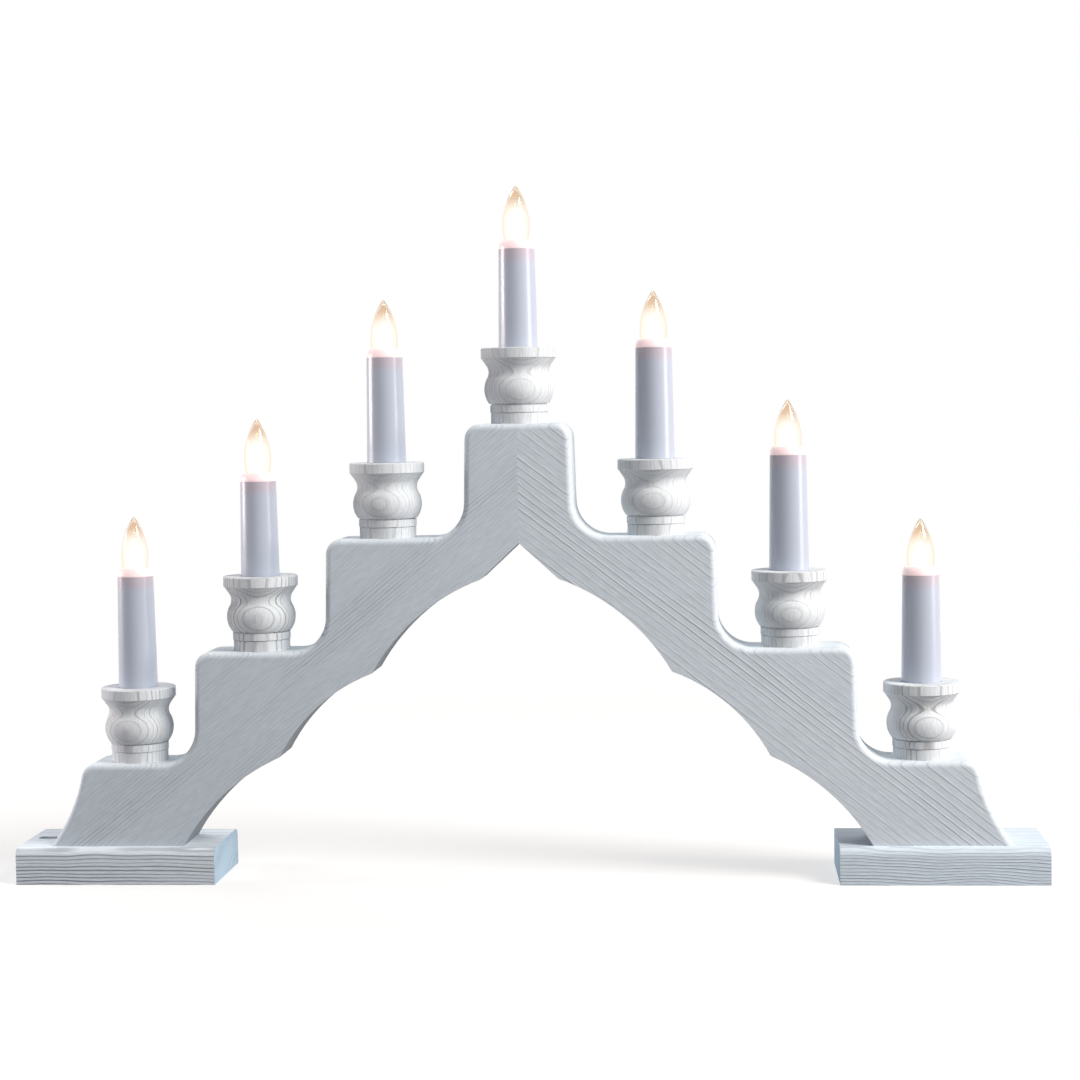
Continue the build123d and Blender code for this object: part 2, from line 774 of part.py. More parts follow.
def link_wire(candle):
    """Wire from one holder to the next one on its right."""
    start = holder_entry(candle, 1, link_lane_depth, link_lane_offset)
    end = holder_entry(candle + 1, -1, link_lane_depth, link_lane_offset)
    return wire_tube(start + end[::-1], [wire_bend_radius] * 4)


def groove_level():
    """Height of the two supply wires in the groove of the left foot."""
    return foot_height - groove_wire_drop


def groove_run(way):
    """Points of a supply wire in the groove, from the channel's mouth to the outlet."""
    y = groove_middle + way * groove_wire_spacing / 2
    mouth_x = -(channel_apex_height - groove_level()) / channel_slope
    end_x = -overall_width / 2 + supply_end_inset
    return [(mouth_x, y, groove_level()), (end_x, y, groove_level())]


def supply_wire():
    """Wire from the first holder down to the outlet in the left foot."""
    start = holder_entry(0, -1, link_lane_depth, link_lane_offset)
    return wire_tube(start + groove_run(1), [wire_bend_radius, wire_bend_radius, groove_bend_radius])


def return_wire():
    """Wire from the last holder back along the whole arch to the outlet in the left foot."""
    start = holder_entry(candle_count - 1, 1, return_lane_depth, -link_lane_offset)
    lane_y = board_middle + return_lane_depth
    run = groove_run(-1)
    shift_start, shift_end = [-arm_offsets[-2] - share * candle_gaps[-1] for share in return_shift_shares]
    places = ((0.0, lane_y), (shift_start, lane_y), (shift_end, run[0][1]))
    lane = [(x, y, channel_height(x, -link_lane_offset)) for x, y in places]
    bends = [wire_bend_radius] * 2 + [apex_bend_radius] + [groove_bend_radius] * 3
    return wire_tube(start + lane + run, bends)


def series_wires():
    """All the wires of the chain, as separate solids."""
    wires = [link_wire(candle) for candle in range(candle_count - 1)]
    return Compound(children=wires + [supply_wire(), return_wire()])


def write(name, shape):
    """Write one sub-part."""
    export_step(shape, f"parts/{name}.step")


def build():
    """Make every sub-part and write it."""
    os.makedirs("parts", exist_ok=True)
    write("left_board", arch_board(-1))
    write("right_board", arch_board(1))
    write("left_foot", left_foot())
    write("right_foot", foot(1))
    write("mitre_dowels", Compound(children=[dowel(height) for height in dowel_heights]))
    write("foot_screws", Compound(children=[foot_screw(x) for side in (-1, 1) for x in screw_places(side)]))
    write("wire_staples", Compound(children=[staple(x) for x in staple_places()]))
    write("series_wires", series_wires())
    write("thread_shells", Compound(children=[thread_shell(candle) for candle in range(candle_count)]))
    for candle in range(candle_count):
        number = candle + 1
        write(f"cup_{number}", cup(candle))
        write(f"candle_sleeve_{number}", candle_sleeve(candle))
        write(f"lamp_holder_{number}", lamp_holder(candle))
        write(f"centre_contact_{number}", centre_contact(candle))
        write(f"bulb_glass_{number}", bulb_glass(candle))
        write(f"bulb_cap_{number}", bulb_cap(candle))
        write(f"bulb_filament_{number}", bulb_filament(candle))


build()
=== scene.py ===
import logging
import math
from dataclasses import dataclass
from enum import Enum
from typing import Any, Iterable, Sequence

import bpy
from mathutils import Matrix, Vector


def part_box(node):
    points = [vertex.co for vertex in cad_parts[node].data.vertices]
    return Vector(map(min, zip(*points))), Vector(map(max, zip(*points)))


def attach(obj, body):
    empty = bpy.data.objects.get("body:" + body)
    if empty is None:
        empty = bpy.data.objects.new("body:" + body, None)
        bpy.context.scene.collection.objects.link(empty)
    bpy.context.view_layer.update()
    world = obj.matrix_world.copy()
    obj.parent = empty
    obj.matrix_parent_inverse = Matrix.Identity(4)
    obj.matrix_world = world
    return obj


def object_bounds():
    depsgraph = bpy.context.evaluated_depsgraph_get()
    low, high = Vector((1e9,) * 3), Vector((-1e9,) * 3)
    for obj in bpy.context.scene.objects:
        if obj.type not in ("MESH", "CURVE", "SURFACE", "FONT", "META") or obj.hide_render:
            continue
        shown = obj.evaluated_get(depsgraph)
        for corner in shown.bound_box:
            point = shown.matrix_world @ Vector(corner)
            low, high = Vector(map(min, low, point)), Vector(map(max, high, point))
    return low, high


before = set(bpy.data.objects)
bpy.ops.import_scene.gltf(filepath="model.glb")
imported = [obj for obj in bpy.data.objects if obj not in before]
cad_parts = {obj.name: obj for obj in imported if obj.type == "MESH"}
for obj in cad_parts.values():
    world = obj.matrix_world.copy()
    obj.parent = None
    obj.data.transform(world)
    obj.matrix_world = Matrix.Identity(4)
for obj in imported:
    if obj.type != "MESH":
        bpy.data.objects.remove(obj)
CAD_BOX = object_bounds()

# Looks of a stepped wooden candle arch with seven electric candles.
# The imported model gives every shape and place. The classes below dress its pieces,
# wind the filaments of the bulbs and set up the studio.

LOG = logging.getLogger("candle_arch")
MM = 0.001
PER_MM = 1000.0
CANDLE_COUNT = 7
# The knee, slope, offset and power of the sRGB curve.
SRGB_KNEE = 0.04045
SRGB_SLOPE = 12.92
SRGB_OFFSET = 0.055
SRGB_POWER = 2.4
# Edges that are sharper than these angles, in degrees, stay hard.
SAWN_CREASE = 35.0
TURNED_CREASE = 30.0
CAP_CREASE = 25.0
SOFT_CREASE = 40.0
ROUND_CREASE = 50.0
COIL_CREASE = 60.0
# Slope of the grain along the left and the right arm, in degrees.
RISING_SLOPE = 38.5
FALLING_SLOPE = -38.0
# Detail of a noise: broad blotches alone, or with finer ones inside them.
BROAD = 1.0
BROKEN = 2.0
SPECKLED = 3.0


def linear(hex_colour: str) -> tuple[float, float, float, float]:
    """Turn an sRGB hex colour into Blender's linear values.

    Args:
        hex_colour: Colour such as "#C8CED2".

    Returns:
        Linear red, green and blue, and 1 for opaque.
    """
    digits = hex_colour.lstrip("#")
    channels = []
    for start in (0, 2, 4):
        value = int(digits[start:start + 2], 16) / 255
        if value <= SRGB_KNEE:
            channels.append(value / SRGB_SLOPE)
        else:
            channels.append(((value + SRGB_OFFSET) / (1 + SRGB_OFFSET)) ** SRGB_POWER)
    return (channels[0], channels[1], channels[2], 1.0)


def add_node(
    tree: bpy.types.NodeTree, kind: str, inputs: dict[Any, Any] | None = None, **settings: Any
) -> bpy.types.Node:
    """Add one shader node with its settings, its values and its links.

    Args:
        tree: Node tree that takes the node.
        kind: Node type, such as "ShaderNodeTexNoise".
        inputs: Input name or number to a value, or to the output socket that feeds it.
        **settings: Attributes of the node, such as its operation.

    Returns:
        The new node.
    """
    node = tree.nodes.new(kind)
    for name, value in settings.items():
        setattr(node, name, value)
    for key, value in (inputs or {}).items():
        socket = node.inputs[key]
        if isinstance(value, bpy.types.NodeSocket):
            tree.links.new(value, socket)
        else:
            socket.default_value = value
    return node


def new_material(name: str) -> tuple[bpy.types.Material, bpy.types.NodeTree]:
    """Make an empty node material.

    Args:
        name: Name of the material.

    Returns:
        The material and its node tree.
    """
    material = bpy.data.materials.new(name)
    material.use_nodes = True
    material.node_tree.nodes.clear()
    return material, material.node_tree


def output_surface(tree: bpy.types.NodeTree, shader: bpy.types.NodeSocket) -> None:
    """Link a shader to the material's output."""
    add_node(tree, "ShaderNodeOutputMaterial", {"Surface": shader})


def dress(node: str, material: bpy.types.Material, crease: float = SAWN_CREASE) -> None:
    """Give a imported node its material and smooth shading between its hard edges.

    Args:
        node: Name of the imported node.
        material: Material for all of it.
        crease: Edges sharper than this many degrees stay hard.
    """
    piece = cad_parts[node]
    piece.data.materials.clear()
    piece.data.materials.append(material)
    for polygon in piece.data.polygons:
        polygon.material_index = 0
    smooth(piece, crease)
    LOG.info("dressed %s with %s", node, material.name)


def smooth(piece: bpy.types.Object, crease: float) -> None:
    """Shade a mesh smooth and keep the edges sharper than the angle in degrees hard."""
    piece.data.shade_smooth()
    piece.data.set_sharp_from_angle(angle=math.radians(crease))


def mesh_piece(name: str, points: Sequence[Vector], faces: Iterable[Sequence[int]]) -> bpy.types.Object:
    """Make a mesh object from points and faces.

    Args:
        name: Name of the piece.
        points: Vertices in metres.
        faces: Vertex numbers of each face.

    Returns:
        The object, linked to the scene.
    """
    mesh = bpy.data.meshes.new(name)
    mesh.from_pydata([tuple(point) for point in points], [], [tuple(face) for face in faces])
    mesh.validate()
    piece = bpy.data.objects.new(name, mesh)
    bpy.context.scene.collection.objects.link(piece)
    return piece


def tube_mesh(
    path: Sequence[Vector], radius: float, sides: int
) -> tuple[list[Vector], list[tuple[int, ...]]]:
    """Make a closed round tube along a path.

    Args:
        path: Points of the middle line, in metres.
        radius: Radius of the tube, in metres.
        sides: Sides of its section.

    Returns:
        Points and faces of the tube.
    """
    points: list[Vector] = []
    faces: list[tuple[int, ...]] = []
    normal = Vector((0, 1, 0))
    for place, centre in enumerate(path):
        before = path[max(place - 1, 0)]
        after = path[min(place + 1, len(path) - 1)]
        tangent = (after - before).normalized()
        normal = (normal - tangent * normal.dot(tangent)).normalized()
        side = tangent.cross(normal)
        for step in range(sides):
            angle = math.tau * step / sides
            points.append(centre + (normal * math.cos(angle) + side * math.sin(angle)) * radius)
    for place in range(len(path) - 1):
        low = place * sides
        for step in range(sides):
            after_step = (step + 1) % sides
            faces.append((low + step, low + after_step, low + sides + after_step, low + sides + step))
    faces.append(tuple(reversed(range(sides))))
    faces.append(tuple(range(len(points) - sides, len(points))))
    return points, faces


class Grain(Enum):
    """Way that the grain of a wooden piece runs."""

    RISING = "up to the right, along the left arm"
    FALLING = "down to the right, along the right arm"
    LEVEL = "along the foot"
    UPRIGHT = "up the turned cup"

    def turn(self) -> Matrix:
        """Give the turn that lays the grain along X.

        Returns:
            The rotation, with the growth layers seen along it on Y and Z.
        """
        if self is Grain.LEVEL:
            return Matrix.Identity(3)
        if self is Grain.UPRIGHT:
            return Matrix(((0, 0, 1), (1, 0, 0), (0, 1, 0)))
        slope = RISING_SLOPE if self is Grain.RISING else FALLING_SLOPE
        return Matrix.Rotation(math.radians(slope), 3, "Y")


@dataclass(frozen=True)
class WashedSpruce:
    """Sawn spruce, brushed and washed with thin white stain.

    It gives the eye a pale, matt, bluish white with the growth lines showing through. Where the
    board's face planes are given, a highlight is painted on the edges that face up and shade is painted
    on the undersides. Fibres are drawn half a millimetre thick, far coarser than real ones, so that
    they show.
    """

    name: str
    grain: Grain
    pith_mm: tuple[float, float]
    ring_mm: float = 2.2
    line_share: float = 0.3
    faint_share: float = 0.15
    plain_share: float = 0.35
    wander_mm: float = 2.4
    wander_length_mm: float = 150.0
    wash_hex: str = "#D0D9E2"
    latewood_hex: str = "#8F969E"
    stain_hex: str = "#D8E0E7"
    line_strength: float = 0.75
    relief_mm: float = 0.16
    fibre_relief_share: float = 0.45
    roughness: float = 0.7
    ior: float = 1.36
    face_planes_mm: tuple[float, float] | None = None
    # Colours of the painted highlight on the edges that face up and of the painted shade on the
    # undersides, and the depths over which they fade in from the faces.
    painted_highlight_hex: str = "#DFE7ED"
    painted_underside_shade_hex: str = "#8E949B"
    painted_edge_depths_mm: tuple[float, float] = (0.08, 0.5)
    # Colour of the painted shade on the end faces.
    painted_end_shade_hex: str | None = None
    # Sizes of the blotches of each noise along, beside and across the grain.
    fibre_mm: tuple[float, float, float] = (5.0, 0.5, 0.45)
    patch_mm: tuple[float, float, float] = (60.0, 22.0, 22.0)
    sway_mm: tuple[float, float, float] = (34.0, 12.0, 7.0)
    band_mm: tuple[float, float, float] = (90.0, 60.0, 11.0)
    wander_beside_mm: tuple[float, float] = (40.0, 26.0)
    # How far the layers bend slowly and waver quickly, as multiples of the wander.
    bend_gain: float = 4.0
    waver_gain: float = 0.5
    # Noise values between which fibres go from dark to light, and bands of lines from plain to full.
    fibre_values: tuple[float, float] = (0.3, 0.7)
    fibre_shades: tuple[float, float] = (0.91, 1.06)
    band_values: tuple[float, float] = (0.38, 0.6)
    # Latewood darkens slowly over most of its width and ends sharply where the next year begins.
    line_peak_share: float = 0.35
    line_drop_share: float = 0.25
    # Upward parts of a face's direction between which its edges go from painted shade to painted
    # highlight, and lengthways parts between which an end face takes its painted shade.
    shade_to_highlight_slopes: tuple[float, float] = (-0.5, -0.1)
    end_shade_slopes: tuple[float, float] = (0.7, 0.95)

    def material(self) -> bpy.types.Material:
        """Make the solid wood material, set in the object's own coordinates.

        Returns:
            The material.
        """
        material, tree = new_material(self.name)
        coordinates = add_node(tree, "ShaderNodeTexCoord")
        turned = add_node(tree, "ShaderNodeMapping", {
            "Vector": coordinates.outputs["Object"],
            "Rotation": self.grain.turn().to_euler(),
            "Scale": (PER_MM, PER_MM, PER_MM),
        })
        rings = self.latewood(tree, turned.outputs[0])
        fibres = self.noise(tree, turned.outputs[0], self.fibre_mm, BROKEN)
        patches = self.noise(tree, turned.outputs[0], self.patch_mm, BROKEN)
        shown = add_node(tree, "ShaderNodeMath", {
            0: rings, 1: self.line_strength,
        }, operation="MULTIPLY")
        washed = add_node(tree, "ShaderNodeMix", {
            0: patches, 6: linear(self.wash_hex), 7: linear(self.stain_hex),
        }, data_type="RGBA").outputs[2]
        # Painted highlight on the edges that face up and painted shade on the undersides.
        if self.face_planes_mm:
            washed = self.paint_edge_light(tree, coordinates.outputs["Object"], washed)
        lined = add_node(tree, "ShaderNodeMix", {
            0: shown.outputs[0], 6: washed, 7: linear(self.latewood_hex),
        }, data_type="RGBA").outputs[2]
        # Painted shade on the end faces.
        if self.painted_end_shade_hex:
            lined = self.paint_end_shade(tree, lined)
        streak = add_node(tree, "ShaderNodeMapRange", {
            "Value": fibres, "From Min": self.fibre_values[0], "From Max": self.fibre_values[1],
            "To Min": self.fibre_shades[0], "To Max": self.fibre_shades[1],
        })
        colour = add_node(tree, "ShaderNodeVectorMath", {
            0: lined, "Scale": streak.outputs[0],
        }, operation="SCALE")
        fine = add_node(tree, "ShaderNodeMath", {
            0: fibres, 1: self.fibre_relief_share,
        }, operation="MULTIPLY")
        height = add_node(tree, "ShaderNodeMath", {0: rings, 1: fine.outputs[0]}, operation="ADD")
        relief = add_node(tree, "ShaderNodeBump", {
            "Strength": 1.0, "Distance": self.relief_mm * MM, "Height": height.outputs[0],
        })
        shader = add_node(tree, "ShaderNodeBsdfPrincipled", {
            "Base Color": colour.outputs[0], "Roughness": self.roughness, "IOR": self.ior,
            "Normal": relief.outputs[0],
        })
        output_surface(tree, shader.outputs[0])
        return material

    def paint_edge_light(
        self, tree: bpy.types.NodeTree, place: bpy.types.NodeSocket, washed: bpy.types.NodeSocket
    ) -> bpy.types.NodeSocket:
        """Paint a highlight on the edges and arrises that face up, and paint shade on the undersides.

        The painted edges turn whiter than the planed faces where they face up, and grey where they face
        down.

        Args:
            tree: Node tree of the material.
            place: Place in the board, in metres.
            washed: Colour of the planed faces.

        Returns:
            The colour with its painted highlight on the edges and painted shade on the undersides.
        """
        low, high = self.face_planes_mm
        parts = add_node(tree, "ShaderNodeSeparateXYZ", {0: place})
        aside = add_node(tree, "ShaderNodeMath", {
            0: parts.outputs["Y"], 1: (low + high) / 2 * MM,
        }, operation="SUBTRACT")
        out = add_node(tree, "ShaderNodeMath", {0: aside.outputs[0]}, operation="ABSOLUTE")
        half = (high - low) / 2
        edge = add_node(tree, "ShaderNodeMapRange", {
            "Value": out.outputs[0], "From Min": (half - self.painted_edge_depths_mm[1]) * MM,
            "From Max": (half - self.painted_edge_depths_mm[0]) * MM, "To Min": 1.0, "To Max": 0.0,
        })
        facing = add_node(tree, "ShaderNodeNewGeometry")
        slope = add_node(tree, "ShaderNodeSeparateXYZ", {0: facing.outputs["True Normal"]})
        upward = add_node(tree, "ShaderNodeMapRange", {
            "Value": slope.outputs["Z"],
            "From Min": self.shade_to_highlight_slopes[0], "From Max": self.shade_to_highlight_slopes[1],
        }, interpolation_type="SMOOTHSTEP")
        # Painted shade on the undersides and painted highlight on the edges that face up.
        edge_light_and_shade = add_node(tree, "ShaderNodeMix", {
            0: upward.outputs[0], 6: linear(self.painted_underside_shade_hex), 7: linear(self.painted_highlight_hex),
        }, data_type="RGBA")
        return add_node(tree, "ShaderNodeMix", {
            0: edge.outputs[0], 6: washed, 7: edge_light_and_shade.outputs[2],
        }, data_type="RGBA").outputs[2]

    def paint_end_shade(
        self, tree: bpy.types.NodeTree, lined: bpy.types.NodeSocket
    ) -> bpy.types.NodeSocket:
        """Paint shade on the end faces, which turn darker and bluer.

        Args:
            tree: Node tree of the material.
            lined: Colour of the wood with its growth lines.

        Returns:
            The colour with the painted shade on its ends.
        """
        facing = add_node(tree, "ShaderNodeNewGeometry")
        along = add_node(tree, "ShaderNodeSeparateXYZ", {0: facing.outputs["True Normal"]})
        level = add_node(tree, "ShaderNodeMath", {0: along.outputs["X"]}, operation="ABSOLUTE")
        end = add_node(tree, "ShaderNodeMapRange", {
            "Value": level.outputs[0], "From Min": self.end_shade_slopes[0], "From Max": self.end_shade_slopes[1],
        })
        # Painted shade: the end faces are darkened and tinted bluish.
        return add_node(tree, "ShaderNodeMix", {
            0: end.outputs[0], 6: lined, 7: linear(self.painted_end_shade_hex),
        }, data_type="RGBA", blend_type="MULTIPLY").outputs[2]

    def noise(
        self, tree: bpy.types.NodeTree, vector: bpy.types.NodeSocket,
        sizes_mm: tuple[float, float, float], detail: float,
    ) -> bpy.types.NodeSocket:
        """Add a noise whose blotches have the given sizes along, beside and across the grain.

        Args:
            tree: Node tree of the material.
            vector: Place in the wood, in millimetres.
            sizes_mm: Sizes of the blotches.
            detail: Detail of the noise.

        Returns:
            The noise value, from 0 to 1.
        """
        scaled = add_node(tree, "ShaderNodeVectorMath", {
            0: vector, 1: tuple(1 / size for size in sizes_mm),
        }, operation="MULTIPLY")
        noise = add_node(tree, "ShaderNodeTexNoise", {
            "Vector": scaled.outputs[0], "Scale": 1.0, "Detail": detail,
        })
        return noise.outputs[0]

    def latewood(self, tree: bpy.types.NodeTree, vector: bpy.types.NodeSocket) -> bpy.types.NodeSocket:
        """Add the growth layers: wide pale earlywood and narrow dark latewood.

        Args:
            tree: Node tree of the material.
            vector: Place in the wood, in millimetres.

        Returns:
            0 in earlywood and 1 in the middle of a latewood line.
        """
        pith = add_node(tree, "ShaderNodeVectorMath", {
            0: vector, 1: (0.0, self.pith_mm[0], self.pith_mm[1]),
        }, operation="SUBTRACT")
        flat = add_node(tree, "ShaderNodeVectorMath", {
            0: pith.outputs[0], 1: (0.0, 1.0, 1.0),
        }, operation="MULTIPLY")
        radius = add_node(tree, "ShaderNodeVectorMath", {0: flat.outputs[0]}, operation="LENGTH")
        wander = self.noise(tree, vector, (self.wander_length_mm, *self.wander_beside_mm), BROAD)
        sway = self.noise(tree, vector, self.sway_mm, BROKEN)
        bent = add_node(tree, "ShaderNodeMath", {
            0: wander, 1: self.wander_mm * self.bend_gain, 2: radius.outputs["Value"],
        }, operation="MULTIPLY_ADD")
        ragged = add_node(tree, "ShaderNodeMath", {
            0: sway, 1: self.wander_mm * self.waver_gain, 2: bent.outputs[0],
        }, operation="MULTIPLY_ADD")
        layers = add_node(tree, "ShaderNodeMath", {
            0: ragged.outputs[0], 1: self.ring_mm,
        }, operation="DIVIDE")
        place = add_node(tree, "ShaderNodeMath", {0: layers.outputs[0]}, operation="FRACT")
        year = add_node(tree, "ShaderNodeMath", {0: layers.outputs[0]}, operation="FLOOR")
        weather = add_node(tree, "ShaderNodeTexWhiteNoise", {
            "W": year.outputs[0],
        }, noise_dimensions="1D")
        dense = add_node(tree, "ShaderNodeMapRange", {
            "Value": weather.outputs["Value"], "To Min": self.faint_share, "To Max": 1.0,
        })
        rise = add_node(tree, "ShaderNodeMapRange", {
            "Value": place.outputs[0], "From Min": 1 - self.line_share,
            "From Max": 1 - self.line_share * self.line_peak_share,
        }, interpolation_type="SMOOTHSTEP")
        fall = add_node(tree, "ShaderNodeMapRange", {
            "Value": place.outputs[0], "From Min": 1 - self.line_share * self.line_drop_share,
            "From Max": 1.0, "To Min": 1.0, "To Max": 0.0,
        }, interpolation_type="SMOOTHSTEP")
        line = add_node(tree, "ShaderNodeMath", {
            0: rise.outputs[0], 1: fall.outputs[0],
        }, operation="MULTIPLY")
        bands = self.noise(tree, vector, self.band_mm, BROAD)
        shown = add_node(tree, "ShaderNodeMapRange", {
            "Value": bands, "From Min": self.band_values[0], "From Max": self.band_values[1],
            "To Min": self.plain_share, "To Max": 1.0,
        }, interpolation_type="SMOOTHSTEP")
        kept = add_node(tree, "ShaderNodeMath", {
            0: dense.outputs[0], 1: shown.outputs[0],
        }, operation="MULTIPLY")
        return add_node(tree, "ShaderNodeMath", {
            0: line.outputs[0], 1: kept.outputs[0],
        }, operation="MULTIPLY").outputs[0]


@dataclass(frozen=True)
class MouldedPlastic:
    """Moulded, extruded or pressed piece: a smooth satin skin with soft highlights.

    Flow marks are far finer than two millimetres on the real piece. They are drawn as coarse as they
    need to show.
    """

    name: str
    colour_hex: str
    roughness: float
    ior: float = 1.49
    flow_mm: float = 2.0
    flow_depth_mm: float = 0.02
    flow_strength: float = 0.15

    def material(self) -> bpy.types.Material:
        """Make the plastic, with faint flow marks in its skin.

        Returns:
            The material.
        """
        material, tree = new_material(self.name)
        coordinates = add_node(tree, "ShaderNodeTexCoord")
        flow = add_node(tree, "ShaderNodeTexNoise", {
            "Vector": coordinates.outputs["Object"], "Scale": PER_MM / self.flow_mm, "Detail": BROKEN,
        })
        skin = add_node(tree, "ShaderNodeBump", {
            "Strength": self.flow_strength, "Distance": self.flow_depth_mm * MM,
            "Height": flow.outputs[0],
        })
        surface = add_node(tree, "ShaderNodeBsdfPrincipled", {
            "Base Color": linear(self.colour_hex), "Roughness": self.roughness, "IOR": self.ior,
            "Normal": skin.outputs[0],
        })
        output_surface(tree, surface.outputs[0])
        return material


@dataclass(frozen=True)
class LitSleeve:
    """Moulded sleeve of a lit candle.

    It gives the eye a satin lavender-white wall with a streak of light down each side. Light of the
    bulb
    is painted on it: reddish towards the top, with a painted glow at the shoulder round the bulb.
    """

    name: str = "moulded_polypropylene_sleeve"
    colour_hex: str = "#BFC6D5"
    # Colours of the painted light of the bulb and of the painted glow at the shoulder.
    painted_bulb_light_hex: str = "#D2B2B8"
    painted_glow_hex: str = "#F8DDDD"
    roughness: float = 0.34
    gloss_weight: float = 0.6
    gloss_roughness: float = 0.24
    through_share: float = 0.03
    painted_bulb_light_strength: float = 0.5
    painted_glow_strength: float = 0.35
    painted_bulb_light_foot_share: float = 0.8
    shoulder_share: float = 0.937
    shoulder_edge_share: float = 0.945
    ior: float = 1.49

    def material(self) -> bpy.types.Material:
        """Make the plastic, with the bulb's light painted on: reddish at the wall's top, and a painted
        glow at the shoulder.

        Returns:
            The material.
        """
        material, tree = new_material(self.name)
        coordinates = add_node(tree, "ShaderNodeTexCoord")
        parts = add_node(tree, "ShaderNodeSeparateXYZ", {0: coordinates.outputs["Generated"]})
        # Painted light of the bulb, reddish, growing towards the top of the wall.
        painted_bulb_light_share = add_node(tree, "ShaderNodeMapRange", {
            "Value": parts.outputs["Z"],
            "From Min": self.painted_bulb_light_foot_share, "From Max": self.shoulder_share,
            "To Max": self.painted_bulb_light_strength,
        }, interpolation_type="SMOOTHERSTEP")
        # Painted glow at the shoulder round the bulb, which also shines as emission.
        shoulder = add_node(tree, "ShaderNodeMapRange", {
            "Value": parts.outputs["Z"],
            "From Min": self.shoulder_share, "From Max": self.shoulder_edge_share,
        }, interpolation_type="SMOOTHSTEP")
        bulb_lit_colour = add_node(tree, "ShaderNodeMix", {
            0: painted_bulb_light_share.outputs[0], 6: linear(self.colour_hex), 7: linear(self.painted_bulb_light_hex),
        }, data_type="RGBA")
        colour = add_node(tree, "ShaderNodeMix", {
            0: shoulder.outputs[0], 6: bulb_lit_colour.outputs[2], 7: linear(self.painted_glow_hex),
        }, data_type="RGBA")
        light = add_node(tree, "ShaderNodeMath", {
            0: shoulder.outputs[0], 1: self.painted_glow_strength,
        }, operation="MULTIPLY")
        surface = add_node(tree, "ShaderNodeBsdfPrincipled", {
            "Base Color": colour.outputs[2], "Roughness": self.roughness, "IOR": self.ior,
            "Coat Weight": self.gloss_weight, "Coat Roughness": self.gloss_roughness,
            "Emission Color": linear(self.painted_glow_hex), "Emission Strength": light.outputs[0],
        })
        inside = add_node(tree, "ShaderNodeBsdfTranslucent", {"Color": colour.outputs[2]})
        mixed = add_node(tree, "ShaderNodeMixShader", {
            0: self.through_share, 1: surface.outputs[0], 2: inside.outputs[0],
        })
        output_surface(tree, mixed.outputs[0])
        return material


@dataclass(frozen=True)
class PlainMetal:
    """Pressed, drawn or plated metal: bright, with reflections blurred in patches by handling."""

    name: str
    colour_hex: str
    roughness: float
    blur_mm: float = 0.6
    blur_shares: tuple[float, float] = (0.7, 1.3)

    def material(self) -> bpy.types.Material:
        """Make the metal, with its roughness varied from patch to patch.

        Returns:
            The material.
        """
        material, tree = new_material(self.name)
        coordinates = add_node(tree, "ShaderNodeTexCoord")
        handling = add_node(tree, "ShaderNodeTexNoise", {
            "Vector": coordinates.outputs["Object"], "Scale": PER_MM / self.blur_mm, "Detail": SPECKLED,
        })
        blurred = add_node(tree, "ShaderNodeMapRange", {
            "Value": handling.outputs[0],
            "To Min": self.roughness * self.blur_shares[0],
            "To Max": self.roughness * self.blur_shares[1],
        })
        shader = add_node(tree, "ShaderNodeBsdfPrincipled", {
            "Base Color": linear(self.colour_hex), "Metallic": 1.0, "Roughness": blurred.outputs[0],
        })
        output_surface(tree, shader.outputs[0])
        return material


@dataclass(frozen=True)
class LitGlass:
    """Blown clear glass of a lit bulb, with a painted glow: white in the middle, amber at its edges,
    clear at the tip.

    The painted glow fades with the height above the bulb's foot, from glow_top_share to
    clear_foot_share of it.
    """

    name: str = "blown_glass_lit"
    tint_hex: str = "#F0DCC8"
    # Colours and strength of the painted glow.
    painted_core_glow_hex: str = "#FFFEF8"
    painted_edge_glow_hex: str = "#E9C79C"
    painted_glow_core_strength: float = 1.15
    edge_blend: float = 0.3
    glow_share: float = 0.92
    glow_top_share: float = 0.55
    clear_foot_share: float = 0.92
    roughness: float = 0.02
    ior: float = 1.5
    shadow_hex: str = "#F4F4F2"

    def material(self) -> bpy.types.Material:
        """Make the glass with the glow that fills it.

        Returns:
            The material.
        """
        material, tree = new_material(self.name)
        coordinates = add_node(tree, "ShaderNodeTexCoord")
        parts = add_node(tree, "ShaderNodeSeparateXYZ", {0: coordinates.outputs["Generated"]})
        glow = add_node(tree, "ShaderNodeMapRange", {
            "Value": parts.outputs["Z"],
            "From Min": self.glow_top_share, "From Max": self.clear_foot_share,
            "To Min": self.glow_share, "To Max": 0.0,
        }, interpolation_type="SMOOTHERSTEP")
        glass = add_node(tree, "ShaderNodeBsdfPrincipled", {
            "Base Color": linear(self.tint_hex), "Roughness": self.roughness, "IOR": self.ior,
            "Transmission Weight": 1.0,
        })
        # The painted glow turns amber towards the glass's edges.
        facing = add_node(tree, "ShaderNodeLayerWeight", {"Blend": self.edge_blend})
        painted_glow_colour = add_node(tree, "ShaderNodeMix", {
            0: facing.outputs["Facing"], 6: linear(self.painted_core_glow_hex), 7: linear(self.painted_edge_glow_hex),
        }, data_type="RGBA")
        # The painted glow shines as emission from the glass.
        light = add_node(tree, "ShaderNodeEmission", {
            "Color": painted_glow_colour.outputs[2], "Strength": self.painted_glow_core_strength,
        })
        lit = add_node(tree, "ShaderNodeMixShader", {
            0: glow.outputs[0], 1: glass.outputs[0], 2: light.outputs[0],
        })
        # Light of the filament passes the glass, so the glass casts no shadow.
        path = add_node(tree, "ShaderNodeLightPath")
        clear = add_node(tree, "ShaderNodeBsdfTransparent", {"Color": linear(self.shadow_hex)})
        mixed = add_node(tree, "ShaderNodeMixShader", {
            0: path.outputs["Is Shadow Ray"], 1: lit.outputs[0], 2: clear.outputs[0],
        })
        output_surface(tree, mixed.outputs[0])
        return material


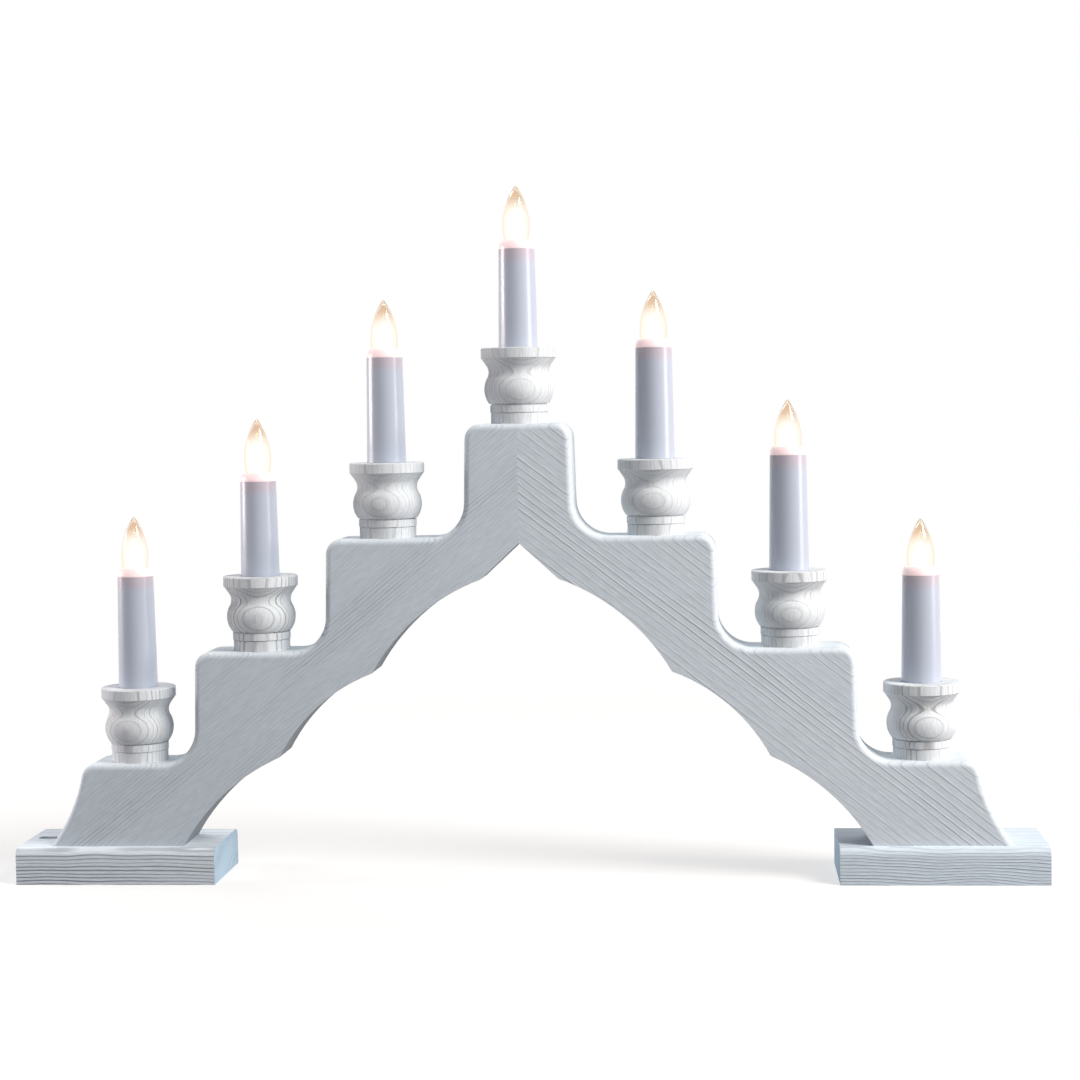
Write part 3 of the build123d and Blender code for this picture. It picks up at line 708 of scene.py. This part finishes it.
@dataclass(frozen=True)
class GlowingWire:
    """Coiled tungsten wire at working heat: a yellow-white point of light, duller at its two ends."""

    name: str = "tungsten_wire_lit"
    colour_hex: str = "#FFD79A"
    strength: float = 14.0
    end_share: float = 0.3
    end_heat_share: float = 0.4

    def material(self) -> bpy.types.Material:
        """Make the glowing wire, a little cooler where it meets its supports.

        Returns:
            The material.
        """
        material, tree = new_material(self.name)
        coordinates = add_node(tree, "ShaderNodeTexCoord")
        parts = add_node(tree, "ShaderNodeSeparateXYZ", {0: coordinates.outputs["Generated"]})
        heat = add_node(tree, "ShaderNodeMapRange", {
            "Value": parts.outputs["Z"], "From Max": self.end_share,
            "To Min": self.strength * self.end_heat_share, "To Max": self.strength,
        })
        light = add_node(tree, "ShaderNodeEmission", {
            "Color": linear(self.colour_hex), "Strength": heat.outputs[0],
        })
        output_surface(tree, light.outputs[0])
        return material


@dataclass
class StepArch:
    """The two mitred boards, their feet, dowels and screws."""

    def dress(self) -> None:
        """Give every wooden piece the grain of its own cut."""
        low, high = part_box("left_board")
        # The face planes mark where the boards' edges begin, which take the painted highlight and the
        # painted shade.
        planes = (low.y * PER_MM, high.y * PER_MM)
        # Fine close lines give the left arm an even grey, and wide ones hatch the right arm.
        left = WashedSpruce(
            "washed_spruce_left_arm", Grain.RISING, pith_mm=(400.0, -420.0), ring_mm=1.2,
            line_share=0.38, faint_share=0.25, plain_share=0.12, relief_mm=0.08, line_strength=0.5,
            wander_mm=0.7, face_planes_mm=planes,
        )
        right = WashedSpruce(
            "washed_spruce_right_arm", Grain.FALLING, pith_mm=(-400.0, 460.0), ring_mm=1.85,
            line_share=0.42, faint_share=0.35, plain_share=0.4, relief_mm=0.1, line_strength=0.3,
            wander_mm=0.75, face_planes_mm=planes, wash_hex="#D5DDE5", stain_hex="#DCE3EA",
        )
        # The feet are cut near the pith, and brushing leaves close level ridges on their front faces.
        # Both feet take a painted shade on their end faces.
        foot_left = WashedSpruce(
            "washed_spruce_left_foot", Grain.LEVEL, pith_mm=(35.0, -58.0), ring_mm=1.15,
            line_share=0.5, faint_share=0.3, plain_share=0.6, wander_mm=1.2, wander_length_mm=55.0,
            relief_mm=0.22, line_strength=0.85, latewood_hex="#7F8A95", wash_hex="#E6EFF7",
            stain_hex="#ECF3F9", painted_end_shade_hex="#D3E6F2",
        )
        foot_right = WashedSpruce(
            "washed_spruce_right_foot", Grain.LEVEL, pith_mm=(-30.0, 70.0), ring_mm=1.3,
            line_share=0.5, faint_share=0.3, plain_share=0.6, wander_mm=1.5, wander_length_mm=45.0,
            relief_mm=0.24, line_strength=0.85, latewood_hex="#7F8A95", wash_hex="#D4DFE9",
            stain_hex="#DCE6EF", painted_end_shade_hex="#D3E6F2",
        )
        for node, finish in (
            ("left_board", left), ("right_board", right),
            ("left_foot", foot_left), ("right_foot", foot_right),
        ):
            dress(node, finish.material())
        # Turned beech, left bare: a warm tan.
        dowels = WashedSpruce(
            "beech_dowels", Grain.LEVEL, pith_mm=(0.0, 0.0), ring_mm=1.2, wash_hex="#C9A77C",
            latewood_hex="#A8835A", stain_hex="#D3B48B",
        )
        dress("mitre_dowels", dowels.material())
        # Zinc plate over steel: a cool grey with blurred highlights.
        dress("foot_screws", PlainMetal("zinc_plated_steel", "#B9BCC0", roughness=0.32).material())


@dataclass
class TurnedCup:
    """One turned cup, cut from a block whose growth layers lie flat behind it."""

    number: int
    pith_behind_mm: float = 42.0
    pith_sways_mm: tuple[float, ...] = (6.0, -4.0, 3.0, -7.0, 5.0, -2.0, -6.0)
    ring_mm: float = 1.25
    wander_mm: float = 0.9
    wander_length_mm: float = 45.0
    relief_mm: float = 0.26

    def dress(self) -> None:
        """Give the cup upright grain, with ovals where the belly cuts the layers."""
        node = f"cup_{self.number}"
        low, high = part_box(node)
        middle = (low + high) / 2 * PER_MM
        sway = self.pith_sways_mm[self.number - 1]
        finish = WashedSpruce(
            f"washed_spruce_cup_{self.number}", Grain.UPRIGHT,
            pith_mm=(middle.x + sway, middle.y + self.pith_behind_mm),
            ring_mm=self.ring_mm, line_share=0.4, faint_share=0.2, wander_mm=self.wander_mm,
            wander_length_mm=self.wander_length_mm, wash_hex="#DDE2E6", latewood_hex="#7C756E",
            stain_hex="#EBEEF0", line_strength=0.85, relief_mm=self.relief_mm,
        )
        dress(node, finish.material(), TURNED_CREASE)


@dataclass
class ElectricCandle:
    """One candle: sleeve, holder, contact and screw-in bulb."""

    number: int
    sleeve: bpy.types.Material
    holder: bpy.types.Material
    brass: bpy.types.Material
    nickel: bpy.types.Material
    glass: bpy.types.Material
    mount: bpy.types.Material
    glow: bpy.types.Material
    coil_turns: int = 22
    coil_radius_mm: float = 0.42
    wire_radius_mm: float = 0.1
    steps_per_turn: int = 10
    arc_rise_mm: float = 4.0
    arc_span_mm: float = 4.4
    sides: int = 6

    def build(self) -> None:
        """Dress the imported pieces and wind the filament."""
        for piece, material, crease in (
            ("candle_sleeve", self.sleeve, SOFT_CREASE),
            ("lamp_holder", self.holder, TURNED_CREASE),
            ("centre_contact", self.brass, TURNED_CREASE),
            ("bulb_glass", self.glass, ROUND_CREASE),
            ("bulb_cap", self.nickel, CAP_CREASE),
            ("bulb_filament", self.mount, SOFT_CREASE),
        ):
            dress(f"{piece}_{self.number}", material, crease)
        self.wind_filament()

    def wind_filament(self) -> None:
        """Wind the coiled filament round the bent rod between the two support wires."""
        low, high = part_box(f"bulb_filament_{self.number}")
        middle = (low + high) / 2
        foot = high.z - self.arc_rise_mm * MM
        path = []
        count = self.coil_turns * self.steps_per_turn
        for step in range(count + 1):
            share = step / count
            lean = 2 * share - 1
            centre = Vector((
                middle.x + lean * self.arc_span_mm / 2 * MM,
                middle.y,
                foot + (1 - abs(lean)) * self.arc_rise_mm * MM,
            ))
            angle = math.tau * self.coil_turns * share
            out = Vector((0, math.cos(angle), math.sin(angle))) * self.coil_radius_mm * MM
            path.append(centre + out)
        points, faces = tube_mesh(path, self.wire_radius_mm * MM, self.sides)
        piece = mesh_piece(f"filament_coil_{self.number}", points, faces)
        piece.data.materials.append(self.glow)
        smooth(piece, COIL_CREASE)
        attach(piece, f"bulb_{self.number}")
        LOG.info("wound %s", piece.name)


@dataclass
class Wiring:
    """The series wires in the channel, the staples and the threaded shells."""

    brass: bpy.types.Material

    def dress(self) -> None:
        """Give the wiring its materials."""
        # Extruded vinyl: a dull creamy white.
        insulation = MouldedPlastic("extruded_vinyl_insulation", "#E4E2DA", roughness=0.45)
        dress("series_wires", insulation.material(), ROUND_CREASE)
        # Drawn steel wire: grey and fairly bright.
        steel = PlainMetal("drawn_steel_wire", "#A9ACB0", roughness=0.3)
        dress("wire_staples", steel.material(), ROUND_CREASE)
        dress("thread_shells", self.brass, TURNED_CREASE)


@dataclass(frozen=True)
class Lamp:
    """One square soft lamp: its place and side in metres, its power in watts and its colour."""

    name: str
    place: tuple[float, float, float]
    side: float
    power: float
    colour_hex: str

    def hang(self, middle: Vector) -> None:
        """Hang the lamp, aimed at the middle of the arch.

        Args:
            middle: Middle of the arch, in metres.
        """
        data = bpy.data.lights.new(self.name, "AREA")
        data.size = self.side
        data.energy = self.power
        data.color = linear(self.colour_hex)[:3]
        lamp = bpy.data.objects.new(self.name, data)
        lamp.location = Vector(self.place)
        aim = middle - lamp.location
        lamp.rotation_euler = aim.to_track_quat("-Z", "Y").to_euler()
        bpy.context.scene.collection.objects.link(lamp)
        LOG.info("hung %s", self.name)


@dataclass
class Studio:
    """Camera, floor, surround and lamps."""

    focal_px: float = 2150.0
    frame_px: float = 1080.0
    sensor_mm: float = 36.0
    place_mm: tuple[float, float, float] = (82.9, -919.4, 200.0)
    yaw_degrees: float = -4.69
    pitch_degrees: float = 3.41
    roll_degrees: float = -0.98
    clip_start: float = 0.01
    clip_end: float = 50.0
    floor_size: float = 12.0
    shadow_reach: float = 0.3
    white_reach: float = 0.7
    white_hex: str = "#FFFFFF"
    paper_hex: str = "#949597"
    shaded_paper_hex: str = "#B8B6B3"
    shine_strength: float = 0.54
    surround_hex: str = "#F4F8FF"
    surround_strength: float = 0.22
    lamps: tuple[Lamp, ...] = (
        Lamp("key_lamp", place=(1.08, -0.6, 1.15), side=0.7, power=26.2, colour_hex="#FFFCF8"),
        Lamp("side_lamp", place=(1.36, -0.25, 0.28), side=0.45, power=5.5, colour_hex="#FFF3F1"),
        Lamp("top_lamp", place=(-0.35, 0.9, 1.2), side=0.6, power=5.6, colour_hex="#FBFDFF"),
        Lamp("rim_lamp", place=(-1.15, 0.1, 0.32), side=0.4, power=8.0, colour_hex="#FFF4F4"),
    )

    def build(self) -> None:
        """Set up the whole studio."""
        self.camera()
        self.floor()
        self.surround()
        for lamp in self.lamps:
            lamp.hang((CAD_BOX[0] + CAD_BOX[1]) / 2)
        bpy.context.scene.view_settings.view_transform = "Standard"

    def camera(self) -> None:
        """Place the camera where the photograph was taken."""
        yaw = math.radians(self.yaw_degrees)
        pitch = math.radians(self.pitch_degrees)
        roll = math.radians(self.roll_degrees)
        forward = Vector((
            math.sin(yaw) * math.cos(pitch), math.cos(yaw) * math.cos(pitch), -math.sin(pitch),
        ))
        level_right = Vector((math.cos(yaw), -math.sin(yaw), 0.0))
        level_up = level_right.cross(forward)
        right = level_right * math.cos(roll) + level_up * math.sin(roll)
        up = level_up * math.cos(roll) - level_right * math.sin(roll)
        data = bpy.data.cameras.new("camera")
        data.sensor_width = self.sensor_mm
        data.lens = self.focal_px / self.frame_px * self.sensor_mm
        data.clip_start = self.clip_start
        data.clip_end = self.clip_end
        camera = bpy.data.objects.new("camera", data)
        turn = Matrix((right, up, -forward)).transposed()
        camera.matrix_world = Matrix.Translation(Vector(self.place_mm) * MM) @ turn.to_4x4()
        bpy.context.scene.collection.objects.link(camera)
        bpy.context.scene.camera = camera

    def floor(self) -> None:
        """Lay a plain white floor that keeps the soft shadow of the arch."""
        half = self.floor_size / 2
        sides = ((-half, -half), (half, -half), (half, half), (-half, half))
        floor = mesh_piece("floor", [Vector((x, y, 0.0)) for x, y in sides], [(0, 1, 2, 3)])
        material, tree = new_material("white_paper_floor")
        path = add_node(tree, "ShaderNodeLightPath")
        # Matt paper: the arch gets only a little light back from it.
        paper = add_node(tree, "ShaderNodeBsdfDiffuse", {"Color": linear(self.paper_hex)})
        # Seen in the open, it is just bright enough to read as white, so that shadows keep their tone.
        shine = add_node(tree, "ShaderNodeEmission", {
            "Color": linear(self.white_hex), "Strength": self.shine_strength,
        })
        toned = add_node(tree, "ShaderNodeBsdfDiffuse", {"Color": linear(self.shaded_paper_hex)})
        near = add_node(tree, "ShaderNodeAddShader", {0: toned.outputs[0], 1: shine.outputs[0]})
        # It is plain white away from the arch, where no shadow falls.
        white = add_node(tree, "ShaderNodeEmission", {"Color": linear(self.white_hex), "Strength": 1.0})
        coordinates = add_node(tree, "ShaderNodeTexCoord")
        away = add_node(tree, "ShaderNodeVectorMath", {
            0: coordinates.outputs["Object"],
        }, operation="LENGTH")
        fade = add_node(tree, "ShaderNodeMapRange", {
            "Value": away.outputs["Value"], "From Min": self.shadow_reach, "From Max": self.white_reach,
        }, interpolation_type="SMOOTHSTEP")
        shown = add_node(tree, "ShaderNodeMixShader", {
            0: fade.outputs[0], 1: near.outputs[0], 2: white.outputs[0],
        })
        mixed = add_node(tree, "ShaderNodeMixShader", {
            0: self.seen(tree, path), 1: paper.outputs[0], 2: shown.outputs[0],
        })
        output_surface(tree, mixed.outputs[0])
        floor.data.materials.append(material)

    def seen(self, tree: bpy.types.NodeTree, path: bpy.types.Node) -> bpy.types.NodeSocket:
        """Add a value that is 1 for what the camera sees, in the open or by way of metal and glass.

        Args:
            tree: Node tree of the floor or the surround.
            path: Its Light Path node.

        Returns:
            The value's socket.
        """
        direct = add_node(tree, "ShaderNodeMath", {
            0: path.outputs["Is Camera Ray"], 1: path.outputs["Is Glossy Ray"],
        }, operation="MAXIMUM")
        return add_node(tree, "ShaderNodeMath", {
            0: direct.outputs[0], 1: path.outputs["Is Transmission Ray"],
        }, operation="MAXIMUM").outputs[0]

    def surround(self) -> None:
        """Light the scene softly from all round, before a white background."""
        world = bpy.data.worlds.new("white_surround")
        bpy.context.scene.world = world
        world.use_nodes = True
        tree = world.node_tree
        tree.nodes.clear()
        path = add_node(tree, "ShaderNodeLightPath")
        soft = add_node(tree, "ShaderNodeBackground", {
            "Color": linear(self.surround_hex), "Strength": self.surround_strength,
        })
        white = add_node(tree, "ShaderNodeBackground", {
            "Color": linear(self.white_hex), "Strength": 1.0,
        })
        mixed = add_node(tree, "ShaderNodeMixShader", {
            0: self.seen(tree, path), 1: soft.outputs[0], 2: white.outputs[0],
        })
        add_node(tree, "ShaderNodeOutputWorld", {"Surface": mixed.outputs[0]})


def main() -> None:
    """Dress the arch, its cups, candles and wiring, and set up the studio."""
    logging.basicConfig(level=logging.INFO, format="%(name)s: %(message)s")
    # Pressed brass: a warm yellow.
    brass = PlainMetal("pressed_brass", "#D9B36A", roughness=0.28).material()
    StepArch().dress()
    Wiring(brass).dress()
    sleeve = LitSleeve().material()
    # Moulded polycarbonate: a plain satin light grey.
    holder = MouldedPlastic("moulded_polycarbonate_holder", "#C9CBD0", roughness=0.4).material()
    # Nickel plate over brass: a bright, slightly warm grey.
    nickel = PlainMetal("nickel_plated_brass", "#C9C5BC", roughness=0.2).material()
    glass = LitGlass().material()
    # Pressed glass with its wires: a glossy greyish white.
    mount = MouldedPlastic("glass_stem_and_supports", "#D8D2C6", roughness=0.15).material()
    glow = GlowingWire().material()
    for number in range(1, CANDLE_COUNT + 1):
        TurnedCup(number).dress()
        ElectricCandle(number, sleeve, holder, brass, nickel, glass, mount, glow).build()
    Studio().build()


if __name__ == "__main__":
    main()
